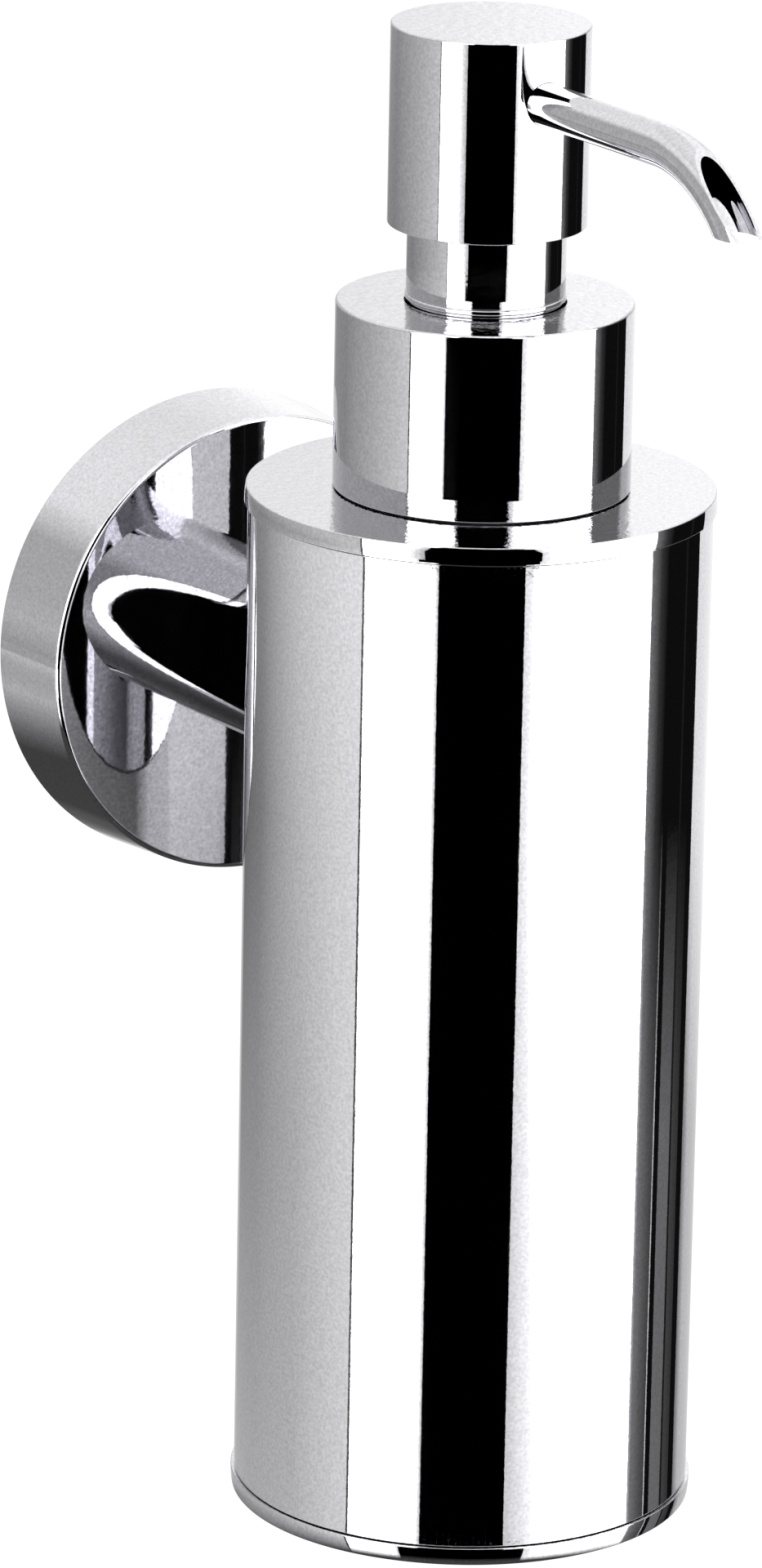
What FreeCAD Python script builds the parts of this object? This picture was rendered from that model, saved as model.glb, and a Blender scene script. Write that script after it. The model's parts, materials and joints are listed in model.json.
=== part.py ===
import FreeCAD, Part
import math
import os

# Wall mounted soap dispenser, in millimetres.
# Frame: +Z up, the wall is the plane y = 0 and the dispenser stands out towards -Y.
# The origin is the centre of the rosette's back face, on the arm's axis.

V = FreeCAD.Vector

# ---- Driving dimensions ------------------------------------------------------------------

axis_to_wall = 60.5          # container axis to the wall
container_top = 31.6         # top face of the top cap
container_bottom = -93.5     # bottom face of the bottom cap
tube_radius = 27.4
tube_wall = 1.0
rim_radius = 27.8
rim_height = 2.1
seam = 0.1                   # visible joint line between a cap's rim and the tube

rosette_back_radius = 29.46
rosette_front_radius = 28.61
rosette_depth = 12.1
rosette_face_wall = 1.6
rosette_bore = 27.2
arm_radius = 10.86

plate_thickness = 3.0
plate_ring_depth = 9.0
plate_ring_wall = 1.8
wall_screw_spacing = 32.0
wall_screw_hole = 2.3

neck_cap_radius = 17.54
neck_cap_wall = 0.8
neck_cap_bottom = 31.8
neck_cap_top = 54.0

collar_radius = 9.35
collar_foot_radius = 9.2     # recessed foot, down through the neck cap's hole
collar_wall = 1.0
collar_top = 65.3
bead_radius = 9.47           # small ring round the collar's foot
bead_bottom = 54.3
bead_top = 55.0
bead_rounding = 0.25
bead_groove = 0.1
collar_hole = 9.5            # hole for the foot in the neck cap and the closure

head_radius = 11.7
head_wall = 0.85
head_bottom = 63.3
head_top = 87.0

spout_height = 79.6          # spout axis
spout_radius = 2.55
spout_bore = 2.2
spout_bend_radius = 19.5
spout_bend_start = 34.5      # from the container axis
spout_bend_angle = 50.0
spout_tip_run = 5.0
lip_start = (-42.3, 80.75)   # where the cut opens the spout: from the container axis, height
lip_end = (-52.2, 72.1)      # where it meets the level end

bottle_radius = 22.8
bottle_wall = 1.2
bottle_mouth = 47.0
neck_radius = 12.9
neck_bore = 11.6
neck_thread_radius = 13.7
neck_threads = (36.0, 40.2)
closure_threads = (33.8, 38.1)
thread_height = 1.4

barrel_radius = 6.6
barrel_bore = 5.6
barrel_floor = 10.0
barrel_top = 56.0
flange_radius = 13.0
flange_height = 48.0
flange_thickness = 1.6
inlet_seat_radius = 1.4
inlet_ball_radius = 1.9
cage_top = 15.0

piston_bottom = 38.8
piston_top = 44.0
spigot_top = 47.0
outlet_seat_radius = 1.0
outlet_ball_radius = 1.6
stem_radius = 3.2
stem_top = 77.4
stem_fit = 0.08              # radial clearance of the stem in its guide

spring_radius = 4.4
spring_wire = 0.4
spring_turns = 7

dip_tube_radius = 2.5
dip_tube_bore = 1.7
dip_tube_bottom = -86.0

saddle_flat = 25.0           # inner face of the saddle washer, from the container axis
saddle_screw_radius = 2.0
arm_bolt_radius = 2.5
grub_screw_radius = 1.95
grub_screw_depth = 6.0       # from the wall

thread_gap = 0.05            # clearance between a screw's solid and its hole
touch = 0.02                 # keeps a resting ball just off its seat

# Worked out
tube_bore = tube_radius - tube_wall
tube_top = container_top - rim_height - seam
tube_bottom = container_bottom + rim_height + seam
rosette_face_back = rosette_depth - rosette_face_wall
plate_ring_radius = rosette_bore - 0.1
barrel_axis = V(0, -axis_to_wall, 0)


# ---- Helpers -----------------------------------------------------------------------------

def profile(corners):
    """Closed outline in the XZ plane. A corner is (r, z) or (r, z, rounding radius)."""
    count = len(corners)
    points = [V(corner[0], 0, corner[1]) for corner in corners]
    cuts = []
    for index, corner in enumerate(corners):
        here = points[index]
        if len(corner) == 2:
            cuts.append((here, None, here))
            continue
        rounding = corner[2]
        back = (points[index - 1] - here).normalize()
        ahead = (points[(index + 1) % count] - here).normalize()
        half_angle = back.getAngle(ahead) / 2
        reach = rounding / math.tan(half_angle)
        to_middle = rounding / math.sin(half_angle) - rounding
        bisector = (back + ahead).normalize()
        cuts.append((here + back * reach, here + bisector * to_middle, here + ahead * reach))
    edges = []
    for index, (arrive, middle, leave) in enumerate(cuts):
        if middle is not None:
            edges.append(Part.Arc(arrive, middle, leave).toShape())
        onward = cuts[(index + 1) % count][0]
        if (onward - leave).Length > 1e-6:
            edges.append(Part.LineSegment(leave, onward).toShape())
    return Part.Wire(edges)


def lathe(corners):
    """Solid turned about +Z through the origin."""
    return Part.Face(profile(corners)).revolve(V(0, 0, 0), V(0, 0, 1), 360)


def on_barrel(shape):
    """Moves a shape from the origin to the container's axis."""
    moved = shape.copy()
    moved.translate(barrel_axis)
    return moved


def turned(corners):
    """Solid turned about the container's axis; a corner is (radius, height)."""
    return on_barrel(lathe(corners))


def on_wall(shape):
    """Turns +Z to -Y, so that heights become distances from the wall."""
    moved = shape.copy()
    moved.rotate(V(0, 0, 0), V(1, 0, 0), 90)
    return moved


def wall_turned(corners):
    """Solid turned about the arm's axis; a corner is (radius, distance from the wall)."""
    return on_wall(lathe(corners))


def rod(radius, start, end):
    """Round bar between two points."""
    along = end - start
    return Part.makeCylinder(radius, along.Length, start, along)


def hexagon(across_flats, start, depth_vector):
    """Hexagonal prism, for a socket."""
    circumradius = across_flats / math.sqrt(3)
    corners = []
    for step in range(7):
        angle = math.radians(60 * step)
        corners.append(V(circumradius * math.cos(angle), circumradius * math.sin(angle), 0))
    prism = Part.Face(Part.makePolygon(corners)).extrude(V(0, 0, depth_vector.Length))
    prism.Placement = FreeCAD.Placement(start, FreeCAD.Rotation(V(0, 0, 1), depth_vector))
    return prism


def ridge(root, crest, bottom):
    """Corners of one thread ridge, from its lower edge upwards."""
    slope = thread_height * 0.25
    return [
        (root, bottom),
        (crest, bottom + slope),
        (crest, bottom + thread_height - slope),
        (root, bottom + thread_height),
    ]


# ---- Wall side ---------------------------------------------------------------------------

def wall_plate():
    ring_bore = plate_ring_radius - plate_ring_wall
    plate = wall_turned([
        (0, 0), (plate_ring_radius, 0), (plate_ring_radius, plate_ring_depth),
        (ring_bore, plate_ring_depth), (ring_bore, plate_thickness), (0, plate_thickness),
    ])
    lug_top = V(0, -grub_screw_depth, -22.4)
    lug_bottom = V(0, -grub_screw_depth, -ring_bore - 0.5)
    plate = plate.fuse(rod(plate_thickness, lug_bottom, lug_top))
    hole = rod(
        grub_screw_radius + thread_gap,
        V(0, -grub_screw_depth, -rosette_back_radius),
        V(0, -grub_screw_depth, -20),
    )
    plate = plate.cut(hole)
    countersink_depth = 1.6
    countersink_radius = wall_screw_hole + 2.1
    for side in (-1, 1):
        centre = side * wall_screw_spacing / 2
        plate = plate.cut(rod(wall_screw_hole, V(centre, 1, 0), V(centre, -plate_thickness - 1, 0)))
        cone = Part.makeCone(
            wall_screw_hole, countersink_radius, countersink_depth,
            V(centre, countersink_depth - plate_thickness, 0), V(0, -1, 0),
        )
        plate = plate.cut(cone)
    return plate.removeSplitter()


def rosette():
    edge_rounding = 0.7
    hole = arm_bolt_radius + 0.2
    cover = wall_turned([
        (rosette_bore, 0), (rosette_back_radius, 0),
        (rosette_front_radius, rosette_depth, edge_rounding),
        (hole, rosette_depth), (hole, rosette_face_back), (rosette_bore, rosette_face_back),
    ])
    screw_hole = rod(
        grub_screw_radius + thread_gap,
        V(0, -grub_screw_depth, -rosette_back_radius - 1),
        V(0, -grub_screw_depth, -rosette_bore + 2),
    )
    return cover.cut(screw_hole)


def rosette_grub_screw():
    outer_end = V(0, -grub_screw_depth, -28.6)
    inner_end = V(0, -grub_screw_depth, -23.0)
    point = 0.8
    shank_end = inner_end - V(0, 0, point)
    screw = rod(grub_screw_radius, outer_end, shank_end)
    tip = Part.makeCone(grub_screw_radius, grub_screw_radius - point, point, shank_end, V(0, 0, 1))
    return screw.fuse(tip).cut(hexagon(2.0, outer_end, V(0, 0, 2.0)))


def arm():
    bar = rod(arm_radius, V(0, -rosette_depth, 0), V(0, 10 - axis_to_wall, 0))
    bar = bar.cut(on_barrel(Part.makeCylinder(tube_radius, 60, V(0, 0, -30))))
    bolt_hole = rod(arm_bolt_radius + thread_gap, V(0, -rosette_depth + 1, 0), V(0, -20.6, 0))
    screw_hole = rod(saddle_screw_radius + thread_gap, V(0, 20 - axis_to_wall, 0), V(0, -23.9, 0))
    return bar.cut(bolt_hole).cut(screw_hole)


def arm_bolt():
    bolt_head_radius = 4.25
    head_start = 5.5
    head_end = 9.5
    bolt = wall_turned([
        (0, head_start), (bolt_head_radius, head_start, 0.4), (bolt_head_radius, head_end),
        (arm_bolt_radius, head_end), (arm_bolt_radius, 19.8, 0.5), (0, 19.8),
    ])
    return bolt.cut(hexagon(4.0, V(0, -head_start, 0), V(0, -2.4, 0)))


def arm_washer():
    hole = arm_bolt_radius + 0.2
    back = rosette_face_back - 1.0
    return wall_turned([(hole, back), (7.5, back), (7.5, rosette_face_back), (hole, rosette_face_back)])


# ---- Container ---------------------------------------------------------------------------

def tube_body():
    shell = turned([
        (tube_bore, tube_bottom), (tube_radius, tube_bottom),
        (tube_radius, tube_top), (tube_bore, tube_top),
    ])
    hole = rod(saddle_screw_radius + 0.2, barrel_axis + V(0, 20, 0), barrel_axis + V(0, 30, 0))
    return shell.cut(hole)


def saddle_washer():
    disc = rod(6.0, barrel_axis + V(0, saddle_flat, 0), barrel_axis + V(0, tube_radius, 0))
    disc = disc.common(on_barrel(Part.makeCylinder(tube_bore, 20, V(0, 0, -10))))
    hole = rod(saddle_screw_radius + 0.2, barrel_axis + V(0, 20, 0), barrel_axis + V(0, 30, 0))
    return disc.cut(hole)


def saddle_screw():
    head_thickness = 1.5
    head = barrel_axis + V(0, saddle_flat - head_thickness, 0)
    head_end = barrel_axis + V(0, saddle_flat, 0)
    shank_end = barrel_axis + V(0, 36.0, 0)
    screw = rod(4.0, head, head_end).fuse(rod(saddle_screw_radius, head_end, shank_end))
    return screw.removeSplitter().cut(hexagon(2.5, head, V(0, 0.9, 0)))


def top_cap():
    rim_bottom = container_top - rim_height
    skirt_end = rim_bottom - 6.0
    skirt_radius = tube_bore - thread_gap
    skirt_bore = 24.6
    neck_hole = 14.5
    return turned([
        (neck_hole, rim_bottom), (neck_hole, container_top), (rim_radius, container_top, 0.15),
        (rim_radius, rim_bottom, 0.1), (skirt_radius, rim_bottom), (skirt_radius, skirt_end),
        (skirt_bore, skirt_end), (skirt_bore, rim_bottom),
    ])


def bottom_cap():
    rim_top = container_bottom + rim_height
    skirt_end = rim_top + 6.0
    skirt_radius = tube_bore - thread_gap
    skirt_bore = 23.6
    groove_floor = 24.45
    groove_bottom = rim_top + 2.0
    groove_top = groove_bottom + 2.0
    return turned([
        (0, container_bottom), (rim_radius, container_bottom, 0.15), (rim_radius, rim_top, 0.1),
        (skirt_radius, rim_top), (skirt_radius, groove_bottom), (groove_floor, groove_bottom),
        (groove_floor, groove_top), (skirt_radius, groove_top), (skirt_radius, skirt_end),
        (skirt_bore, skirt_end), (skirt_bore, rim_top - 0.1), (0, rim_top - 0.1),
    ])


def bottom_cap_o_ring():
    section = 0.94
    middle = 25.43
    return on_barrel(Part.makeTorus(middle, section, V(0, 0, container_bottom + rim_height + 3.0)))


def inner_bottle():
    base = container_bottom + rim_height - 0.1
    floor = base + bottle_wall + 0.2
    inside = bottle_radius - bottle_wall
    shoulder_radius = 16.5
    shoulder_height = 28.0
    neck_foot = container_top - rim_height
    outer = [
        (0, base), (bottle_radius, base, 2.0), (bottle_radius, 21.5, 3.0),
        (shoulder_radius, shoulder_height, 0.5), (shoulder_radius, neck_foot),
        (neck_radius, neck_foot),
    ]
    for height in neck_threads:
        outer += ridge(neck_radius, neck_thread_radius, height)
    outer += [(neck_radius, bottle_mouth)]
    inner = [
        (neck_bore, bottle_mouth), (neck_bore, shoulder_height, 0.6),
        (14.83, shoulder_height, 0.6), (inside, 21.0, 2.0), (inside, floor, 1.2), (0, floor),
    ]
    return turned(outer + inner)


# ---- Closure -----------------------------------------------------------------------------

def neck_cap():
    bore = neck_cap_radius - neck_cap_wall
    ceiling = neck_cap_top - neck_cap_wall
    return turned([
        (bore, neck_cap_bottom), (neck_cap_radius, neck_cap_bottom),
        (neck_cap_radius, neck_cap_top, 0.3), (collar_hole, neck_cap_top), (collar_hole, ceiling),
        (bore, ceiling),
    ])


def closure_ring():
    outside = neck_cap_radius - neck_cap_wall - 0.09
    bore = 14.6
    crest = 13.95
    bottom = neck_cap_bottom + 0.15
    top = neck_cap_top - neck_cap_wall - 0.1
    web_bottom = flange_height + flange_thickness + 0.2
    web_top = web_bottom + 2.2
    corners = [
        (bore, bottom), (outside, bottom), (outside, top), (bore, top), (bore, web_top),
        (collar_hole, web_top), (collar_hole, web_bottom), (bore, web_bottom),
    ]
    for height in reversed(closure_threads):
        corners += reversed(ridge(bore, crest, height))
    return turned(corners)


# ---- Pump, fixed pieces ------------------------------------------------------------------

def neck_gasket():
    inside = 7.5
    return turned([
        (inside, bottle_mouth), (flange_radius, bottle_mouth),
        (flange_radius, flange_height), (inside, flange_height),
    ])


def pump_housing():
    socket_radius = 3.7
    socket_bore = dip_tube_radius + thread_gap
    socket_top = barrel_floor - 1.5
    boss_radius = 8.3
    flange_top = flange_height + flange_thickness
    return turned([
        (socket_bore, 0), (socket_radius, 0), (socket_radius, 7.0), (barrel_radius, 9.0),
        (barrel_radius, flange_height), (flange_radius, flange_height),
        (flange_radius, flange_top), (boss_radius, flange_top), (boss_radius, barrel_top),
        (barrel_bore, barrel_top), (barrel_bore, barrel_floor), (inlet_seat_radius, barrel_floor),
        (inlet_seat_radius, socket_top), (socket_bore, socket_top),
    ])


def stem_guide():
    bore = stem_radius + stem_fit
    sleeve = barrel_bore - thread_gap
    flange = 8.2
    return turned([
        (bore, piston_top + 0.3), (sleeve, piston_top + 0.3), (sleeve, barrel_top),
        (flange, barrel_top), (flange, barrel_top + 1.5), (bore, barrel_top + 1.5),
    ])


def guide_collar():
    bore = collar_radius - collar_wall
    foot = flange_height + flange_thickness
    web_bottom = collar_top - 1.3
    hole = stem_radius + 1.0
    return turned([
        (bore, foot), (collar_foot_radius, foot), (collar_foot_radius, bead_bottom),
        (bead_radius, bead_bottom, bead_rounding), (bead_radius, bead_top, bead_rounding),
        (collar_foot_radius, bead_top), (collar_foot_radius, bead_top + bead_groove),
        (collar_radius, bead_top + bead_groove), (collar_radius, collar_top, 0.3),
        (hole, collar_top), (hole, web_bottom), (bore, web_bottom),
    ])


def valve_cage():
    outside = barrel_bore - thread_gap
    chamber = inlet_ball_radius + 0.4
    ceiling = cage_top - 0.8
    hole = 1.3
    return turned([
        (chamber, barrel_floor), (outside, barrel_floor), (outside, cage_top),
        (hole, cage_top), (hole, ceiling), (chamber, ceiling),
    ])


def ball_on_seat(ball_radius, seat_radius, seat_height):
    """Ball resting on the edge of a round hole."""
    rise = math.sqrt(ball_radius ** 2 - seat_radius ** 2) + touch
    return on_barrel(Part.makeSphere(ball_radius, V(0, 0, seat_height + rise)))


def inlet_ball():
    return ball_on_seat(inlet_ball_radius, inlet_seat_radius, barrel_floor)


def dip_tube():
    top = barrel_floor - 1.6
    tube = turned([
        (dip_tube_bore, dip_tube_bottom), (dip_tube_radius, dip_tube_bottom),
        (dip_tube_radius, top), (dip_tube_bore, top),
    ])
    wedge = Part.makeBox(20, 20, 20, V(-10, -10, -20))
    wedge.rotate(V(0, 0, 0), V(1, 0, 0), 40)
    wedge.translate(barrel_axis + V(0, 0, dip_tube_bottom + 2.2))
    return tube.cut(wedge)


def return_spring():
    bottom = cage_top + spring_wire
    top = piston_bottom - spring_wire
    height = top - bottom
    helix = Part.makeHelix(height / spring_turns, height, spring_radius)
    helix.translate(V(0, 0, bottom))
    section = Part.Wire(Part.makeCircle(spring_wire, V(spring_radius, 0, bottom), V(0, 1, 0)))
    coil = Part.Wire(helix.Edges).makePipeShell([section], True, True)
    return on_barrel(coil)


# ---- Pump, moving pieces -----------------------------------------------------------------

def piston():
    core = 4.6
    skirt = 5.0
    body = 5.3
    seal_bottom = piston_bottom + 0.8
    seal_top = piston_top - 1.8
    spigot = 2.05
    return turned([
        (outlet_seat_radius, piston_bottom), (skirt, piston_bottom), (skirt, seal_bottom),
        (core, seal_bottom), (core, seal_top), (body, seal_top), (body, piston_top),
        (spigot, piston_top), (spigot, spigot_top), (outlet_seat_radius, spigot_top),
    ])


def piston_seal():
    bottom = piston_bottom + 0.85
    top = piston_top - 1.85
    lip = barrel_bore - 0.06
    waist = lip - 0.3
    inside = 4.65
    return turned([
        (inside, bottom), (lip, bottom), (waist, (bottom + top) / 2), (lip, top), (inside, top),
    ])


def pump_stem():
    socket = 2.15
    socket_top = 50.6
    bore = 1.3
    foot = piston_top + 0.1
    return turned([
        (socket, foot), (stem_radius, foot), (stem_radius, stem_top),
        (bore, stem_top), (bore, socket_top), (socket, socket_top),
    ])


def outlet_ball():
    return ball_on_seat(outlet_ball_radius, outlet_seat_radius, spigot_top)


def spout_root_bore():
    """Hole for the spout in the head, from the head core's seat outwards."""
    start = barrel_axis + V(0, -4.2, spout_height)
    end = barrel_axis + V(0, -head_radius - 1, spout_height)
    return rod(spout_radius + thread_gap, start, end)


def head_shell():
    inside = head_radius - head_wall
    ceiling = head_top - 1.0
    shell = turned([
        (inside, head_bottom), (head_radius, head_bottom, 0.15), (head_radius, head_top, 0.2),
        (0, head_top), (0, ceiling), (inside, ceiling),
    ])
    return shell.cut(spout_root_bore())


def head_core():
    outside = head_radius - head_wall - thread_gap
    bottom = 74.6
    top = head_top - 1.0 - thread_gap
    socket = stem_radius + thread_gap
    channel = 1.3
    core = turned([
        (socket, bottom), (outside, bottom), (outside, top), (0, top),
        (0, stem_top + 0.1), (socket, stem_top + 0.1),
    ])
    riser = rod(channel, barrel_axis + V(0, 0, stem_top - 1), barrel_axis + V(0, 0, spout_height))
    outlet_start = barrel_axis + V(0, channel, spout_height)
    outlet = rod(channel, outlet_start, barrel_axis + V(0, -5, spout_height))
    return core.cut(riser).cut(outlet).cut(spout_root_bore())


def spout_seal():
    start = barrel_axis + V(0, -4.25, spout_height)
    end = start + V(0, -1.0, 0)
    return rod(spout_radius - 0.05, start, end).cut(rod(1.4, start, end))


def spout_path():
    """Straight run, bend and short tip run of the spout's centre line."""
    angle = math.radians(spout_bend_angle)
    start = V(0, -5.3, spout_height)
    bend_start = V(0, -spout_bend_start, spout_height)
    centre = bend_start - V(0, 0, spout_bend_radius)

    def on_bend(turn):
        return centre + V(0, -math.sin(turn), math.cos(turn)) * spout_bend_radius

    bend_end = on_bend(angle)
    tip = bend_end + V(0, -math.cos(angle), -math.sin(angle)) * spout_tip_run
    return Part.Wire([
        Part.LineSegment(start, bend_start).toShape(),
        Part.Arc(bend_start, on_bend(angle / 2), bend_end).toShape(),
        Part.LineSegment(bend_end, tip).toShape(),
    ])


def spout():
    path = spout_path()
    tube_start = V(0, -5.3, spout_height)
    outer = Part.Wire(Part.makeCircle(spout_radius, tube_start, V(0, -1, 0)))
    inner = Part.Wire(Part.makeCircle(spout_bore, tube_start, V(0, -1, 0)))
    tube = path.makePipeShell([outer], True, False).cut(path.makePipeShell([inner], True, False))
    # The end is cut level, and its outer side is cut away down to an open lip.
    level = Part.makeBox(20, 40, 20, V(-10, -70, lip_end[1] - 20))
    start = V(-10, *lip_start)
    end = V(-10, *lip_end)
    along = (end - start).normalize() * 10
    outward = V(0, along.z, -along.y)
    corners = [start - along, start - along + outward, end + along + outward, end + along]
    slope = Part.Face(Part.makePolygon(corners + corners[:1])).extrude(V(20, 0, 0))
    return on_barrel(tube.cut(level).cut(slope))


# ---- Build -------------------------------------------------------------------------------

nodes = [
    wall_plate, rosette, rosette_grub_screw, arm, arm_bolt, arm_washer,
    tube_body, saddle_washer, saddle_screw, top_cap, bottom_cap, bottom_cap_o_ring, inner_bottle,
    neck_cap, closure_ring,
    neck_gasket, pump_housing, stem_guide, guide_collar, valve_cage, inlet_ball, dip_tube,
    return_spring, piston, piston_seal, pump_stem, outlet_ball,
    head_shell, head_core, spout_seal, spout,
]

os.makedirs("parts", exist_ok=True)
for node in nodes:
    shape = node()
    if not shape.isValid() or len(shape.Solids) != 1:
        raise ValueError(f"{node.__name__} is not one valid solid")
    shape.Solids[0].exportStep(f"parts/{node.__name__}.step")
    print(f"{node.__name__}: {shape.Volume / 1000:.3f} cm3")
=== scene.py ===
import json
import math

import bmesh
import bpy
from mathutils import Matrix, Vector


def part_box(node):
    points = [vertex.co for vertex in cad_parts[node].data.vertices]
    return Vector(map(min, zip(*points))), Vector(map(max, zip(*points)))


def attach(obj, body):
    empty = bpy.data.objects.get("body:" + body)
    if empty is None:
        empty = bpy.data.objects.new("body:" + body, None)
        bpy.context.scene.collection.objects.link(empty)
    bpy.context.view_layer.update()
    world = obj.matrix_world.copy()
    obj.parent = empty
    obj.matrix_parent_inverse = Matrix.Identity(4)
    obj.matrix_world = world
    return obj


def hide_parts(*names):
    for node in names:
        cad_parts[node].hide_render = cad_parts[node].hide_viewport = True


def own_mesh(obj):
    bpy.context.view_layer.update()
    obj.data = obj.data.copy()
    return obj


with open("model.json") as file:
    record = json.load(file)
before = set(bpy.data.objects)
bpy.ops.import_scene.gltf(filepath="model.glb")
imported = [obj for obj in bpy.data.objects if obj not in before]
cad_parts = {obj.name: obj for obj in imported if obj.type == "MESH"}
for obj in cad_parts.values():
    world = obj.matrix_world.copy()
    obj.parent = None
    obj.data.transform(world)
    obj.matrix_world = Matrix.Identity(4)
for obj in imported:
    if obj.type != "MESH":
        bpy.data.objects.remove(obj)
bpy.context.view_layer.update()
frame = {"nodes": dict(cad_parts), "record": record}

MM = 0.001
ARC_STEP = math.radians(10)      # longest step along a rounded corner
AROUND = 256                     # facets round a small turned piece
AROUND_LARGE = 384               # and round a large one
SHARP_ANGLE = math.radians(28)


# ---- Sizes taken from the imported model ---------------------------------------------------

def turned_size(node):
    """(radius, lowest z, highest z) of a node turned about a vertical axis."""
    low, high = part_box(node)
    return (high.x - low.x) / 2, low.z, high.z


tube_radius, tube_bottom, tube_top = turned_size("tube_body")
tube_low, tube_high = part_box("tube_body")
container_axis = Vector((0, (tube_low.y + tube_high.y) / 2, 0))


# ---- Mesh helpers ------------------------------------------------------------------------

def outline(corners):
    """Closed outline of (radius, height) points; a corner's third number rounds it with an arc."""
    points = []
    count = len(corners)
    for index, corner in enumerate(corners):
        here = Vector(corner[:2])
        if len(corner) == 2:
            points.append(here)
            continue
        rounding = corner[2]
        back = (Vector(corners[index - 1][:2]) - here).normalized()
        ahead = (Vector(corners[(index + 1) % count][:2]) - here).normalized()
        half_angle = back.angle(ahead) / 2
        reach = rounding / math.tan(half_angle)
        centre = here + (back + ahead).normalized() * rounding / math.sin(half_angle)
        first = here + back * reach - centre
        last = here + ahead * reach - centre
        steps = max(2, math.ceil(first.angle(last) / ARC_STEP))
        for step in range(steps + 1):
            points.append(centre + first.slerp(last, step / steps).normalized() * rounding)
    return points


def leaning_side(radius, low, high, edge, lean_top):
    """Side of a rim, top to bottom, that is upright at one edge and leans in towards the other."""
    steps = 10
    points = []
    for step in range(steps + 1):
        share = 1 - step / steps
        lean = share if lean_top else 1 - share
        points.append((radius - RIM_LEAN * lean ** 2, low + edge + (high - low - 2 * edge) * share))
    return points


def smooth_faces(piece):
    """Smooth faces with sharp creases, where the large faces keep their true normals."""
    piece.data.shade_smooth()
    piece.data.set_sharp_from_angle(angle=SHARP_ANGLE)
    piece.modifiers.new("face_normals", "WEIGHTED_NORMAL").keep_sharp = True


def finish_mesh(name, bm):
    """Turns a bmesh into an object."""
    bmesh.ops.recalc_face_normals(bm, faces=bm.faces)
    mesh = bpy.data.meshes.new(name)
    bm.to_mesh(mesh)
    bm.free()
    piece = bpy.data.objects.new(name, mesh)
    bpy.context.scene.collection.objects.link(piece)
    smooth_faces(piece)
    return piece


def join_rings(bm, rings):
    """Faces between each ring of vertices and the next, and from the last back to the first."""
    for ring, onward in zip(rings, rings[1:] + rings[:1]):
        count = max(len(ring), len(onward))
        if count == 1:
            continue
        for k in range(count):
            corners = [
                ring[k % len(ring)], ring[(k + 1) % len(ring)],
                onward[(k + 1) % len(onward)], onward[k % len(onward)],
            ]
            bm.faces.new(list(dict.fromkeys(corners)))


def lathe(corners, around=AROUND):
    """Bmesh of a closed outline turned about +Z through the origin."""
    bm = bmesh.new()
    rings = []
    for radius, height in outline(corners):
        if radius < 1e-7:
            rings.append([bm.verts.new((0, 0, height))])
            continue
        ring = []
        for k in range(around):
            angle = 2 * math.pi * k / around
            ring.append(bm.verts.new((radius * math.cos(angle), radius * math.sin(angle), height)))
        rings.append(ring)
    join_rings(bm, rings)
    return bm


def on_container(name, corners, around=AROUND):
    """Piece turned about the container's axis."""
    bm = lathe(corners, around)
    bmesh.ops.translate(bm, verts=bm.verts, vec=container_axis)
    return finish_mesh(name, bm)


def off_wall(bm):
    """Turns +Z to -Y, so that heights become distances from the wall."""
    bmesh.ops.rotate(bm, verts=bm.verts, cent=(0, 0, 0), matrix=Matrix.Rotation(math.radians(90), 3, "X"))


def cut_away(piece, cutter_bm):
    """Removes the cutter's space from a piece."""
    mesh = bpy.data.meshes.new("cutter")
    cutter_bm.to_mesh(mesh)
    cutter_bm.free()
    cutter = bpy.data.objects.new("cutter", mesh)
    bpy.context.scene.collection.objects.link(cutter)
    piece.modifiers.clear()
    cut = piece.modifiers.new("cut", "BOOLEAN")
    cut.operation = "DIFFERENCE"
    cut.solver = "EXACT"
    cut.object = cutter
    depsgraph = bpy.context.evaluated_depsgraph_get()
    piece.data = bpy.data.meshes.new_from_object(piece.evaluated_get(depsgraph))
    piece.modifiers.clear()
    bpy.data.objects.remove(cutter)
    smooth_faces(piece)


def drill(piece, start, end, radius):
    """Cuts a round hole through a piece."""
    along = end - start
    turn = along.to_track_quat("Z", "Y").to_matrix().to_4x4()
    bm = bmesh.new()
    bmesh.ops.create_cone(
        bm, cap_ends=True, segments=96, radius1=radius, radius2=radius, depth=along.length,
        matrix=Matrix.Translation((start + end) / 2) @ turn,
    )
    cut_away(piece, bm)


# ---- Materials ---------------------------------------------------------------------------

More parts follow.
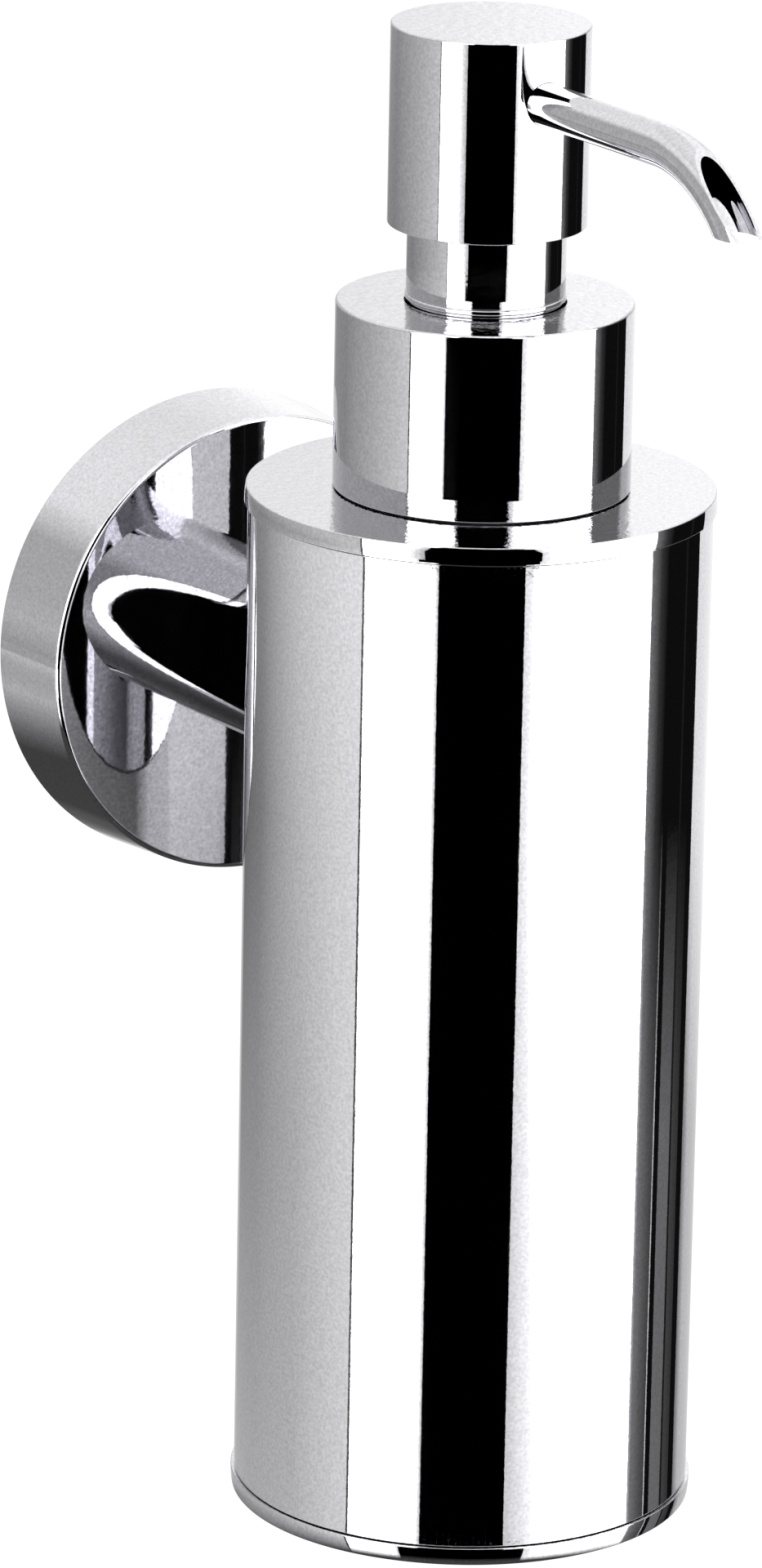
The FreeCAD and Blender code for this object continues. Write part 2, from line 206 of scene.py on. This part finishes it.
class Nodes:
    """Short way to write a material's node tree."""

    def __init__(self, name):
        self.material = bpy.data.materials.new(name)
        self.material.use_nodes = True
        self.tree = self.material.node_tree
        self.shader = self.tree.nodes["Principled BSDF"]
        self.coordinates = self.tree.nodes.new("ShaderNodeTexCoord")

    def link(self, source, target):
        self.tree.links.new(source, target)

    def noise(self, scale, detail=3.0, stretch=(1, 1, 1)):
        mapping = self.tree.nodes.new("ShaderNodeMapping")
        mapping.inputs["Scale"].default_value = stretch
        texture = self.tree.nodes.new("ShaderNodeTexNoise")
        texture.inputs["Scale"].default_value = scale
        texture.inputs["Detail"].default_value = detail
        self.link(self.coordinates.outputs["Object"], mapping.inputs["Vector"])
        self.link(mapping.outputs["Vector"], texture.inputs["Vector"])
        return texture.outputs["Fac"]

    def facing_up(self):
        """Upward part of the surface's direction: 1 on a level top."""
        split = self.tree.nodes.new("ShaderNodeSeparateXYZ")
        self.link(self.coordinates.outputs["Normal"], split.inputs["Vector"])
        return split.outputs["Z"]

    def spread(self, value, low, high, start=0.3, end=0.7):
        """Maps a value between start and end onto a range."""
        spread = self.tree.nodes.new("ShaderNodeMapRange")
        spread.inputs["From Min"].default_value = start
        spread.inputs["From Max"].default_value = end
        spread.inputs["To Min"].default_value = low
        spread.inputs["To Max"].default_value = high
        self.link(value, spread.inputs["Value"])
        return spread.outputs["Result"]

    def product(self, first, second):
        times = self.tree.nodes.new("ShaderNodeMath")
        times.operation = "MULTIPLY"
        self.link(first, times.inputs[0])
        self.link(second, times.inputs[1])
        return times.outputs["Value"]

    def tint(self, value, dark, light):
        """Colour that moves between two shades with a noise value."""
        ramp = self.tree.nodes.new("ShaderNodeValToRGB")
        ramp.color_ramp.elements[0].position = 0.3
        ramp.color_ramp.elements[1].position = 0.7
        ramp.color_ramp.elements[0].color = (*dark, 1)
        ramp.color_ramp.elements[1].color = (*light, 1)
        self.link(value, ramp.inputs["Fac"])
        self.link(ramp.outputs["Color"], self.shader.inputs["Base Color"])

    def bump(self, height, distance):
        bump = self.tree.nodes.new("ShaderNodeBump")
        bump.inputs["Distance"].default_value = distance
        self.link(height, bump.inputs["Height"])
        self.link(bump.outputs["Normal"], self.shader.inputs["Normal"])


def chrome():
    """Polished plating: mirror-like, with wipe marks and an orange peel that is stronger on level faces."""
    nodes = Nodes("chrome")
    nodes.shader.inputs["Metallic"].default_value = 1.0
    nodes.tint(nodes.noise(2600, 3), (0.60, 0.597, 0.62), (0.79, 0.785, 0.815))
    wipe = nodes.noise(220, 5, (1, 1, 0.15))
    nodes.link(nodes.spread(wipe, 0.012, 0.035), nodes.shader.inputs["Roughness"])
    level = nodes.spread(nodes.facing_up(), 0.03, 1.0, 0.9, 0.99)
    nodes.bump(nodes.product(nodes.noise(900, 4), level), 0.00006)
    return nodes.material


def steel():
    """Satin stainless steel with fine turning marks."""
    nodes = Nodes("steel")
    nodes.shader.inputs["Metallic"].default_value = 1.0
    nodes.tint(nodes.noise(150, 4), (0.55, 0.56, 0.58), (0.68, 0.69, 0.71))
    marks = nodes.noise(300, 4, (1, 1, 12))
    nodes.link(nodes.spread(marks, 0.22, 0.4), nodes.shader.inputs["Roughness"])
    nodes.bump(marks, 0.00001)
    return nodes.material


def moulded(name, dark, light, roughness, transmission=0.0):
    """Moulded plastic with a fine spark-eroded grain."""
    nodes = Nodes(name)
    nodes.shader.inputs["Transmission Weight"].default_value = transmission
    nodes.shader.inputs["IOR"].default_value = 1.49
    nodes.tint(nodes.noise(90, 4), dark, light)
    nodes.link(nodes.spread(nodes.noise(400, 3), *roughness), nodes.shader.inputs["Roughness"])
    nodes.bump(nodes.noise(2500, 3), 0.00001)
    return nodes.material


def rubber():
    """Black rubber with a soft sheen that varies."""
    nodes = Nodes("rubber")
    nodes.tint(nodes.noise(300, 5), (0.012, 0.012, 0.013), (0.03, 0.03, 0.031))
    nodes.link(nodes.spread(nodes.noise(500, 4), 0.5, 0.75), nodes.shader.inputs["Roughness"])
    nodes.bump(nodes.noise(3000, 4), 0.00002)
    return nodes.material


materials = {
    "chrome": chrome(),
    "steel": steel(),
    "white_plastic": moulded("white_plastic", (0.80, 0.80, 0.78), (0.88, 0.88, 0.86), (0.32, 0.5)),
    "bottle_plastic": moulded("bottle_plastic", (0.78, 0.80, 0.79), (0.86, 0.88, 0.87), (0.3, 0.45), 0.35),
    "tube_plastic": moulded("tube_plastic", (0.80, 0.83, 0.84), (0.88, 0.90, 0.91), (0.12, 0.25), 0.45),
    "rubber": rubber(),
}


def dress_cad_nodes():
    """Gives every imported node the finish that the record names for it."""
    for row in frame["record"]["subparts"]:
        slots = frame["nodes"][row["node"]].material_slots
        for slot in slots:
            slot.material = materials[row["material_slot"]]


def place(piece, body, node, slot):
    """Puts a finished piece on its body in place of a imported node."""
    piece.data.materials.clear()
    piece.data.materials.append(materials[slot])
    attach(piece, body)
    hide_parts(node)


# ---- Wall side ---------------------------------------------------------------------------

def make_rosette():
    low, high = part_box("rosette")
    back_radius = (high.x - low.x) / 2
    depth = -low.y
    front_radius = back_radius - 0.85 * MM
    bore = back_radius - 2.26 * MM
    face_wall = 1.6 * MM
    bolt_hole = 2.7 * MM
    bm = lathe([
        (bore, 0), (back_radius, 0, 0.15 * MM), (front_radius, depth, 0.7 * MM),
        (bolt_hole, depth), (bolt_hole, depth - face_wall), (bore, depth - face_wall),
    ], AROUND_LARGE)
    off_wall(bm)
    piece = finish_mesh("rosette_cover", bm)
    screw_low, screw_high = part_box("rosette_grub_screw")
    screw_radius = (screw_high.x - screw_low.x) / 2
    centre = (screw_low + screw_high) / 2
    outside = Vector((0, centre.y, -back_radius - MM))
    drill(piece, outside, Vector((0, centre.y, -bore + 2 * MM)), screw_radius + 0.05 * MM)
    place(piece, "holder", "rosette", "chrome")


def make_arm():
    """Round bar whose end fits the container's side."""
    low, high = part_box("arm")
    radius = (high.x - low.x) / 2
    start = -high.y
    bolt_hole = 2.55 * MM
    bolt_hole_end = 20.6 * MM
    screw_hole = 2.05 * MM
    screw_hole_end = 23.9 * MM
    nominal_end = 40 * MM
    saddle_rings = 6
    corners = [
        (0, bolt_hole_end), (bolt_hole, bolt_hole_end), (bolt_hole, start), (radius, start),
    ]
    for step in range(saddle_rings + 1):
        corners.append((radius + (screw_hole - radius) * step / saddle_rings, nominal_end))
    corners += [(screw_hole, screw_hole_end), (0, screw_hole_end)]
    bm = lathe(corners)
    off_wall(bm)
    for vertex in bm.verts:
        if abs(vertex.co.y + nominal_end) < 1e-6:
            vertex.co.y = container_axis.y + math.sqrt(tube_radius ** 2 - vertex.co.x ** 2)
    place(finish_mesh("arm_bar", bm), "holder", "arm", "chrome")


# ---- Container ---------------------------------------------------------------------------

RIM_LEAN = 0.12 * MM             # how far a rim's side leans in at its outer edge


def make_tube():
    wall = 1.0 * MM
    edge = 0.12 * MM
    piece = on_container("container_tube", [
        (tube_radius - wall, tube_bottom), (tube_radius, tube_bottom, edge),
        (tube_radius, tube_top, edge), (tube_radius - wall, tube_top),
    ], AROUND_LARGE)
    washer_low, washer_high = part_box("saddle_washer")
    hole_height = (washer_low.z + washer_high.z) / 2
    start = Vector((0, washer_low.y - 5 * MM, hole_height))
    drill(piece, start, start + Vector((0, 12 * MM, 0)), 2.2 * MM)
    place(piece, "holder", "tube_body", "chrome")


def make_top_cap():
    radius, low, high = turned_size("top_cap")
    rim_bottom = high - 2.1 * MM
    skirt_radius = tube_radius - 1.05 * MM
    skirt_bore = skirt_radius - 1.75 * MM
    neck_hole = 14.5 * MM
    edge = 0.15 * MM
    top_corner = radius - RIM_LEAN - 0.02 * MM
    corners = [(neck_hole, rim_bottom), (neck_hole, high), (top_corner, high, edge)]
    corners += leaning_side(radius, rim_bottom, high, edge, True)
    corners += [
        (radius, rim_bottom, edge * 0.5), (skirt_radius, rim_bottom), (skirt_radius, low),
        (skirt_bore, low), (skirt_bore, rim_bottom),
    ]
    place(on_container("container_top", corners, AROUND_LARGE), "holder", "top_cap", "chrome")


def make_bottom_cap():
    radius, low, high = turned_size("bottom_cap")
    rim_top = low + 2.1 * MM
    skirt_radius = tube_radius - 1.05 * MM
    skirt_bore = skirt_radius - 2.75 * MM
    ring_low, ring_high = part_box("bottom_cap_o_ring")
    ring_middle = (ring_low.z + ring_high.z) / 2
    groove_floor = skirt_radius - 1.9 * MM
    groove_half = 1.0 * MM
    edge = 0.15 * MM
    corners = [(skirt_radius, rim_top), (radius, rim_top, edge * 0.5)]
    corners += leaning_side(radius, low, rim_top, edge, False)
    corners += [
        (radius - RIM_LEAN - 0.02 * MM, low, edge), (0, low), (0, rim_top - 0.1 * MM),
        (skirt_bore, rim_top - 0.1 * MM), (skirt_bore, high), (skirt_radius, high),
        (skirt_radius, ring_middle + groove_half), (groove_floor, ring_middle + groove_half),
        (groove_floor, ring_middle - groove_half), (skirt_radius, ring_middle - groove_half),
    ]
    place(on_container("container_bottom", corners, AROUND_LARGE), "holder", "bottom_cap", "chrome")


# ---- Pump head and neck ------------------------------------------------------------------

def make_neck_cap():
    radius, low, high = turned_size("neck_cap")
    wall = 0.8 * MM
    hole = 9.5 * MM
    place(on_container("neck_cup", [
        (radius - wall, low), (radius, low, 0.1 * MM), (radius, high, 0.3 * MM),
        (hole, high, 0.08 * MM), (hole, high - wall), (radius - wall, high - wall),
    ]), "closure", "neck_cap", "chrome")


def make_collar():
    bead_radius, low, high = turned_size("guide_collar")
    radius = bead_radius - 0.12 * MM
    foot_radius = radius - 0.15 * MM
    bore = radius - 1.0 * MM
    bead_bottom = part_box("neck_cap")[1].z + 0.3 * MM
    bead_top = bead_bottom + 0.7 * MM
    groove_top = bead_top + 0.1 * MM
    rounding = 0.26 * MM
    hole = 4.2 * MM
    web = 1.3 * MM
    place(on_container("head_guide", [
        (bore, low), (foot_radius, low), (foot_radius, bead_bottom),
        (bead_radius, bead_bottom, rounding), (bead_radius, bead_top, rounding),
        (foot_radius, bead_top), (foot_radius, groove_top), (radius, groove_top, 0.04 * MM),
        (radius, high, 0.3 * MM), (hole, high), (hole, high - web), (bore, high - web),
    ]), "pump", "guide_collar", "chrome")


def make_head():
    radius, low, high = turned_size("head_shell")
    wall = 0.85 * MM
    ceiling = high - 1.0 * MM
    piece = on_container("press_head", [
        (radius - wall, low), (radius, low, 0.15 * MM), (radius, high, 0.2 * MM),
        (0, high), (0, ceiling), (radius - wall, ceiling),
    ], AROUND_LARGE)
    spout_low, spout_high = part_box("spout")
    spout_radius = (spout_high.x - spout_low.x) / 2
    height = spout_high.z - spout_radius
    start = container_axis + Vector((0, -6 * MM, height))
    end = container_axis + Vector((0, -radius - MM, height))
    drill(piece, start, end, spout_radius + 0.05 * MM)
    place(piece, "head", "head_shell", "chrome")


def make_spout():
    """Bent tube whose end is cut level, with its outer side cut away to an open lip."""
    low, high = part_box("spout")
    radius = (high.x - low.x) / 2
    bore = 2.2 * MM
    height = high.z - radius
    start = high.y
    bend_start = container_axis.y - 34.5 * MM
    bend_radius = 19.5 * MM
    bend_angle = math.radians(50)
    tip_run = 5 * MM
    level = low.z
    lip_top = Vector((container_axis.y - 42.3 * MM, 80.75 * MM))
    lip_foot = Vector((container_axis.y - 52.2 * MM, level))
    straight = start - bend_start
    bend_length = bend_radius * bend_angle
    length = straight + bend_length + tip_run

    def centre_line(s):
        """Point and heading, in the (y, z) plane, at a distance along the tube."""
        turn = min(max((s - straight) / bend_radius, 0), bend_angle)
        heading = Vector((-math.cos(turn), -math.sin(turn)))
        if s <= straight:
            return Vector((start - s, height)), heading
        centre = Vector((bend_start, height - bend_radius))
        point = centre + Vector((-math.sin(turn), math.cos(turn))) * bend_radius
        return point + heading * max(s - straight - bend_length, 0), heading

    around = 160
    straight_steps = 12
    bend_steps = 64
    stations = [straight * step / straight_steps for step in range(straight_steps)]
    stations += [straight + bend_length * step / bend_steps for step in range(bend_steps)]
    stations += [straight + bend_length, length]
    bm = bmesh.new()

    def rings_of(tube):
        """Rings of one radius along the centre line."""
        rings = []
        for s in stations:
            point, heading = centre_line(s)
            across = Vector((heading.y, -heading.x))
            ring = []
            for k in range(around):
                angle = 2 * math.pi * k / around
                spot = point + across * math.cos(angle) * tube
                ring.append(bm.verts.new((math.sin(angle) * tube, spot.x, spot.y)))
            rings.append(ring)
        return rings

    join_rings(bm, rings_of(radius) + rings_of(bore)[::-1])
    piece = finish_mesh("spout_tube", bm)

    # Space that is cut away: below the level end, and outside the slope of the open lip.
    reach = 12 * MM
    upper = lip_top + (lip_top - lip_foot).normalized() * reach
    border = [
        upper, lip_foot, Vector((lip_foot.x + reach, level)),
        Vector((lip_foot.x + reach, level - reach)), Vector((lip_foot.x - reach, level - reach)),
        Vector((lip_foot.x - reach, upper.y)),
    ]
    cutter = bmesh.new()
    near, far = [
        [cutter.verts.new((side * reach, corner.x, corner.y)) for corner in border] for side in (-1, 1)
    ]
    cutter.faces.new(near)
    cutter.faces.new(far[::-1])
    count = len(border)
    for k in range(count):
        onward = (k + 1) % count
        cutter.faces.new([near[onward], near[k], far[k], far[onward]])
    bmesh.ops.recalc_face_normals(cutter, faces=cutter.faces)
    cut_away(piece, cutter)
    place(piece, "head", "spout", "chrome")


def make_spring():
    """Coil of the spring that the head presses, built at one fixed length."""
    low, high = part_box("return_spring")
    wire = 0.4 * MM
    turns = 7
    mean_radius = (high.x - low.x) / 2 - wire
    bottom = low.z + wire
    height = high.z - low.z - 2 * wire
    steps = turns * 48
    around = 16
    rise = height / (turns * 2 * math.pi * mean_radius)
    bm = bmesh.new()
    rings = []
    for step in range(steps + 1):
        turn = 2 * math.pi * turns * step / steps
        outward = Vector((math.cos(turn), math.sin(turn), 0))
        along = Vector((-math.sin(turn), math.cos(turn), rise)).normalized()
        across = along.cross(outward)
        centre = container_axis + outward * mean_radius + Vector((0, 0, bottom + height * step / steps))
        ring = []
        for k in range(around):
            angle = 2 * math.pi * k / around
            ring.append(bm.verts.new(centre + (outward * math.cos(angle) + across * math.sin(angle)) * wire))
        rings.append(ring)
    for ring, onward in zip(rings, rings[1:]):
        for k in range(around):
            bm.faces.new([ring[k], ring[(k + 1) % around], onward[(k + 1) % around], onward[k]])
    bm.faces.new(rings[0])
    bm.faces.new(rings[-1][::-1])
    piece = finish_mesh("coil_spring", bm)
    piece.modifiers.clear()
    place(piece, "pump", "return_spring", "steel")
    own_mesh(piece)


# ---- Studio ------------------------------------------------------------------------------

VIEW_AZIMUTH = -0.594549         # radians from the wall's normal, about the container
VIEW_DISTANCE = 1.014676         # from the container's axis, level
VIEW_HEIGHT = 0.275834           # above the container's top
FLOOR_HEIGHT = -2.5


def make_camera():
    """Camera at the studio's viewing angle; yaw, pitch and roll are in radians."""
    yaw, pitch, roll = 0.0109466, -0.2990162, 0.0190475
    heading = VIEW_AZIMUTH + yaw
    forward = Vector((
        -math.sin(heading) * math.cos(pitch), math.cos(heading) * math.cos(pitch), math.sin(pitch),
    ))
    level_right = forward.cross(Vector((0, 0, 1))).normalized()
    level_up = level_right.cross(forward)
    right = level_right * math.cos(roll) + level_up * math.sin(roll)
    up = level_up * math.cos(roll) - level_right * math.sin(roll)
    data = bpy.data.cameras.new("camera")
    data.sensor_width = 36
    data.lens = 205.58
    data.clip_start = 0.05
    data.clip_end = 100
    camera = bpy.data.objects.new("camera", data)
    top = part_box("top_cap")[1].z
    camera.location = container_axis + Vector((
        math.sin(VIEW_AZIMUTH) * VIEW_DISTANCE, -math.cos(VIEW_AZIMUTH) * VIEW_DISTANCE,
        top + VIEW_HEIGHT,
    ))
    turn = Matrix((right, up, -forward)).transposed().to_4x4()
    camera.matrix_world = Matrix.Translation(camera.location) @ turn
    bpy.context.scene.collection.objects.link(camera)
    bpy.context.scene.camera = camera


def glow_material(name):
    """Light panel whose brightness is stored on its mesh."""
    material = bpy.data.materials.new(name)
    material.use_nodes = True
    tree = material.node_tree
    tree.nodes.clear()
    shade = tree.nodes.new("ShaderNodeAttribute")
    shade.attribute_name = "shade"
    glow = tree.nodes.new("ShaderNodeEmission")
    output = tree.nodes.new("ShaderNodeOutputMaterial")
    tree.links.new(shade.outputs["Fac"], glow.inputs["Strength"])
    tree.links.new(glow.outputs["Emission"], output.inputs["Surface"])
    return material


def reflect_only(obj):
    """The panel shows in the polished surfaces, and nowhere else."""
    obj.visible_camera = False
    obj.visible_diffuse = False
    obj.visible_transmission = False
    obj.visible_volume_scatter = False
    obj.visible_shadow = False


CHROME_REFLECTANCE = 0.7         # brightnesses of panels are given as seen in the chrome
WHITE = 2.3                      # bright enough to stay white after several reflections
PANEL_RADIUS = 1.6
PANEL_STEP = 3                   # degrees per facet
LEFT_AZIMUTHS = (-180, -178, -168, -160, -132, -95, -70, -58.8)
RIGHT_AZIMUTHS = (
    94, 96, 101.5, 107, 107, 107.8, 107.8, 112, 112, 122.5,
    122.5, 124.5, 124.5, 132, 132, 138.5, 138.5, 146, 178, 180,
)


def panel_band(name, low, high, below, above, material):
    """Band of panels round the object between two (radius, height) rings.

    The lists below and above hold (degrees right of the camera, brightness) on the two rings.
    """
    bm = bmesh.new()
    layer = bm.verts.layers.float.new("shade")
    to_camera = Vector((math.sin(VIEW_AZIMUTH), -math.cos(VIEW_AZIMUTH), 0))
    to_right = Vector((-to_camera.y, to_camera.x, 0))
    for low_pair, high_pair in zip(zip(below, below[1:]), zip(above, above[1:])):
        widest = max(last[0] - first[0] for first, last in (low_pair, high_pair))
        if widest <= 0:
            continue
        pieces = max(1, round(widest / PANEL_STEP))
        columns = []
        for k in range(pieces + 1):
            share = k / pieces
            column = []
            for (radius, height), (first, last) in ((low, low_pair), (high, high_pair)):
                angle = math.radians(first[0] + (last[0] - first[0]) * share)
                spoke = to_camera * math.cos(angle) + to_right * math.sin(angle)
                vertex = bm.verts.new(container_axis + spoke * radius + Vector((0, 0, height)))
                seen = first[1] + (last[1] - first[1]) * share
                vertex[layer] = seen / CHROME_REFLECTANCE
                column.append(vertex)
            columns.append(column)
        for left, right in zip(columns, columns[1:]):
            bm.faces.new([left[0], right[0], right[1], left[1]])
    mesh = bpy.data.meshes.new(name)
    bm.to_mesh(mesh)
    bm.free()
    mesh.materials.append(material)
    band = bpy.data.objects.new(name, mesh)
    bpy.context.scene.collection.objects.link(band)
    reflect_only(band)


def wall_row(height, left, black, right, soft_left=(1.5, 0.6), soft_right=(4, 0.75)):
    """Brightness round the object at one height: grey, white, black, white, then streaks.

    Each soft edge is (width in degrees, brightness beside the black).
    """
    start, end = black
    line = 0.06
    stops = list(zip(LEFT_AZIMUTHS, left))
    stops += [(LEFT_AZIMUTHS[-1], line), (-57.6, line), (-57.6, WHITE)]
    stops += [(start - soft_left[0], WHITE), (start - soft_left[0], 1), (start, soft_left[1])]
    stops += [(start, 0), (end, 0), (end, soft_right[1])]
    stops += [(end + soft_right[0], 1), (end + soft_right[0], WHITE), (94, WHITE)]
    stops += zip(RIGHT_AZIMUTHS, right)
    return height, stops


def make_panels():
    """Light and dark panels that the polished surfaces mirror."""
    glow = glow_material("light_panel")
    soot = 0.004
    streaks = (
        0.45, 0.16, 0.09, 0.045, 0.50, 0.50, soot, soot, 0.13, 0.12,
        0.01, 0.01, 0.05, 0.03, soot, soot, 0.15, 0.42, 0.50, 0.50,
    )
    plain = (
        0.18, 0.13, 0.03, soot, soot, soot, soot, soot, soot, soot,
        soot, 0.015, soot, soot, soot, soot, 0.66, 0.68, 0.75, 0.75,
    )
    shaded = [0.15 if azimuth < 138 else 0.45 for azimuth in RIGHT_AZIMUTHS[:-2]] + [0.87, 0.80]
    above = [0.3 + 0.6 * min((azimuth - 94) / 26, 1) for azimuth in RIGHT_AZIMUTHS]
    narrow = (-19.6, 22.5)
    wide = (-29, 29)
    head = (-26, 29.7)
    low_left = (0.40, 0.40, 0.40, 0.38, 0.38, 0.42, 0.56, 0.62)
    tube_left = (0.60, 0.60, 0.52, 0.12, 0.24, 0.56, 0.70, 0.74)
    neck_left = (0.50, 0.50, 0.42, 0.22, 0.22, 0.37, 0.50, 0.57)
    head_left = (0.50, 0.50, 0.42, 0.20, 0.20, 0.33, 0.45, 0.52)
    rows = [
        wall_row(-1.04, (0.05, 0.05, 0.05, 0.10, 0.13, 0.15, 0.20, 0.25), (-30, 33), streaks),
        wall_row(-0.80, (0.20, 0.20, 0.20, 0.20, 0.28, 0.38, 0.46, 0.50), (-30, 33), streaks),
        wall_row(-0.7294, low_left, (-30, 33), streaks),
        wall_row(-0.7294, low_left, narrow, streaks, (1.5, 0.6), (15, 0.55)),
        wall_row(
            -0.60, (0.50, 0.50, 0.46, 0.22, 0.26, 0.40, 0.58, 0.64), narrow, streaks, (1.5, 0.6), (9, 0.65),
        ),
        wall_row(-0.50, (0.58, 0.58, 0.52, 0.10, 0.18, 0.46, 0.62, 0.68), narrow, plain),
        wall_row(-0.4127, tube_left, narrow, plain),
        wall_row(-0.4127, tube_left, wide, plain),
        wall_row(-0.402, neck_left, wide, plain),
        wall_row(-0.335, neck_left, wide, plain),
        wall_row(-0.335, head_left, head, plain, (7, 0.45)),
        wall_row(-0.10, (0.55, 0.55, 0.50, 0.40, 0.34, 0.44, 0.50, 0.52), head, plain, (7, 0.45)),
        wall_row(0.12, (0.60, 0.56, 0.52, 0.46, 0.36, 0.38, 0.36, 0.36), (-19, 21), shaded),
        wall_row(0.60, (0.82, 0.77, 0.66, 0.50, 0.38, 0.36, 0.36, 0.36), (-19, 21), shaded),
        wall_row(0.95, (0.80, 0.77, 0.72, 0.70, 0.72, 0.72, 0.72, 0.70), (-19, 21), above),
        wall_row(1.50, (0.70, 0.70, 0.68, 0.70, 0.74, 0.74, 0.74, 0.72), (-19, 21), above),
    ]
    for number, ((low, below), (high, onward)) in enumerate(zip(rows, rows[1:])):
        if high > low:
            ring_low = (PANEL_RADIUS, low)
            ring_high = (PANEL_RADIUS, high)
            panel_band(f"panels_{number}", ring_low, ring_high, below, onward, glow)

    foot_height, foot = rows[0]
    mat_radius = 1.4
    mat_shade = 0.045
    hub_radius = 0.001
    kerb = [(azimuth, min(shade, 1)) for azimuth, shade in foot]
    mat = [(azimuth, mat_shade) for azimuth, _ in foot]
    mat_edge = (mat_radius, foot_height)
    panel_band("panel_mat", (hub_radius, foot_height), mat_edge, mat, mat, glow)
    panel_band("panel_kerb", mat_edge, (PANEL_RADIUS, foot_height), mat, kerb, glow)

    eaves_height = rows[-1][0]
    peak_height = 2.4
    eaves = [(-180, 0.70), (-57, 0.60), (-57, 1.0), (180, 0.90)]
    peak = [(azimuth, 0.8) for azimuth, _ in eaves]
    eaves_ring = (PANEL_RADIUS, eaves_height)
    panel_band("panels_ceiling", eaves_ring, (hub_radius, peak_height), eaves, peak, glow)


def make_studio():
    """White surroundings and a pale floor."""
    floor_half_width = 40
    world = bpy.data.worlds.new("studio")
    world.use_nodes = True
    background = world.node_tree.nodes["Background"]
    background.inputs["Color"].default_value = (1, 1, 1, 1)
    background.inputs["Strength"].default_value = 1.15
    bpy.context.scene.world = world
    bpy.context.scene.view_settings.view_transform = "Standard"

    bm = bmesh.new()
    bmesh.ops.create_grid(bm, x_segments=8, y_segments=8, size=floor_half_width)
    bmesh.ops.translate(bm, verts=bm.verts, vec=(0, 0, FLOOR_HEIGHT))
    mesh = bpy.data.meshes.new("floor")
    bm.to_mesh(mesh)
    bm.free()
    floor_nodes = Nodes("pale_floor")
    floor_nodes.shader.inputs["Roughness"].default_value = 0.9
    floor_nodes.tint(floor_nodes.noise(0.5, 2), (0.93, 0.93, 0.93), (0.96, 0.96, 0.96))
    mesh.materials.append(floor_nodes.material)
    floor = bpy.data.objects.new("floor", mesh)
    bpy.context.scene.collection.objects.link(floor)


# ---- Build -------------------------------------------------------------------------------

dress_cad_nodes()
make_rosette()
make_arm()
make_tube()
make_top_cap()
make_bottom_cap()
make_neck_cap()
make_collar()
make_head()
make_spout()
make_spring()
make_camera()
make_studio()
make_panels()
